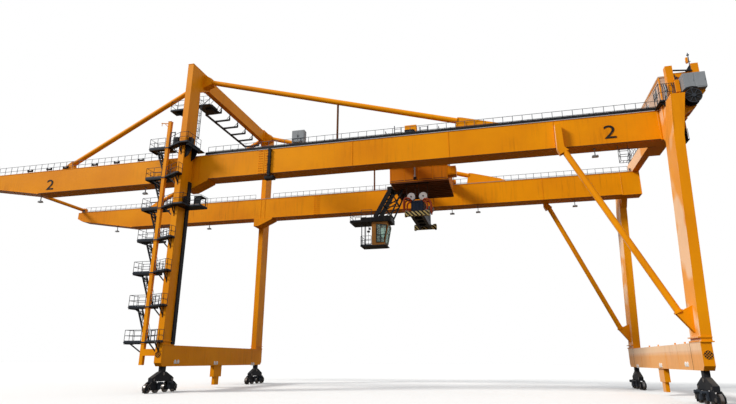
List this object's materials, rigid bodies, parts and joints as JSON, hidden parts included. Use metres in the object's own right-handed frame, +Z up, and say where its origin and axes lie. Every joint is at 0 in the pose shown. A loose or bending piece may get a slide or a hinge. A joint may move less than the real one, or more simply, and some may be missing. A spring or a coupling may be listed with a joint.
{
  "type": "rail-mounted gantry crane with pylon stays and cantilevered girders, 1:2 scale model",
  "caption": "Wide-span gantry crane on rails with cable-stayed twin box girders, cantilever, trolley, hanging cab and container spreader.",
  "frame": {"origin": "middle of the left rail's top, half way between the two portal frames", "axes": "+X along the girders from the left rail to the right rail, +Y along the rails away from the viewer, +Z up"},
  "size_m": [37.105, 12.5898, 16.2499],
  "materials": {
    "orange_paint": "semi-gloss orange-yellow coat over welded plate, lightly streaked",
    "pale_panels": "pale profiled cladding",
    "dark_paint": "dark paint, dusty",
    "grey_paint": "light grey cabinet paint",
    "pale_grey_paint": "pale grey paint, worn at the groove",
    "bare_steel": "rolled steel, polished where it runs",
    "galvanised_steel": "dull zinc grey",
    "blue_grey_paint": "blue-grey paint, weathered",
    "hazard_paint": "yellow with dark diagonal stripes",
    "wire_rope": "greased wire rope",
    "dark_cab_paint": "dark grey cab paint",
    "tinted_glass": "tinted glass"
  },
  "bodies": {
    "gantry": {"cable_ducts": "dark_paint", "cable_reel": "dark_paint", "crossbeam_walkway": "orange_paint", "floodlights": "grey_paint", "girder_cabinet": "grey_paint", "girder_far": "orange_paint", "girder_handrails": "galvanised_steel", "girder_near": "orange_paint", "head_deck": "orange_paint", "head_portal": "orange_paint", "left_leg_far": "orange_paint", "left_leg_near": "orange_paint", "leg_platforms": "orange_paint", "leg_struts": "orange_paint", "machine_house": "pale_panels", "pylon_crossbeam": "orange_paint", "pylon_ladder": "galvanised_steel", "rail_clamps": "orange_paint", "reel_cabinet": "grey_paint", "right_crossbeam": "orange_paint", "right_leg_far": "orange_paint", "right_leg_near": "orange_paint", "sill_left": "orange_paint", "sill_right": "orange_paint", "stair_column": "orange_paint", "stair_landings": "galvanised_steel", "stair_stringers": "blue_grey_paint", "stair_treads": "galvanised_steel", "stay_hangers": "orange_paint", "stays_left": "orange_paint", "stays_right": "orange_paint", "tip_tie": "orange_paint", "travel_bogies": "dark_paint", "travel_wheels": "bare_steel", "trolley_rails": "bare_steel"},
    "trolley": {"trolley_frame": "orange_paint", "trolley_wheels": "bare_steel", "hoist_deck": "orange_paint", "trolley_cabinets": "orange_paint", "cab_body": "orange_paint", "cab_glass": "tinted_glass", "cab_deck": "dark_cab_paint", "cab_truss": "dark_paint", "hoist_ropes": "wire_rope"},
    "spreader": {"spreader": "hazard_paint", "head_block": "dark_paint", "rope_sheaves": "pale_grey_paint"}
  },
  "joints": [
    {"name": "trolley_travel", "type": "slide", "parent": "gantry", "child": "trolley", "axis": [1, 0, 0], "range_m": [-23.1, 9.4]},
    {"name": "hoist", "type": "slide", "parent": "trolley", "child": "spreader", "axis": [0, 0, 1], "range_m": [-7.75, 0.45], "deforming": ["hoist_ropes"]}
  ]
}
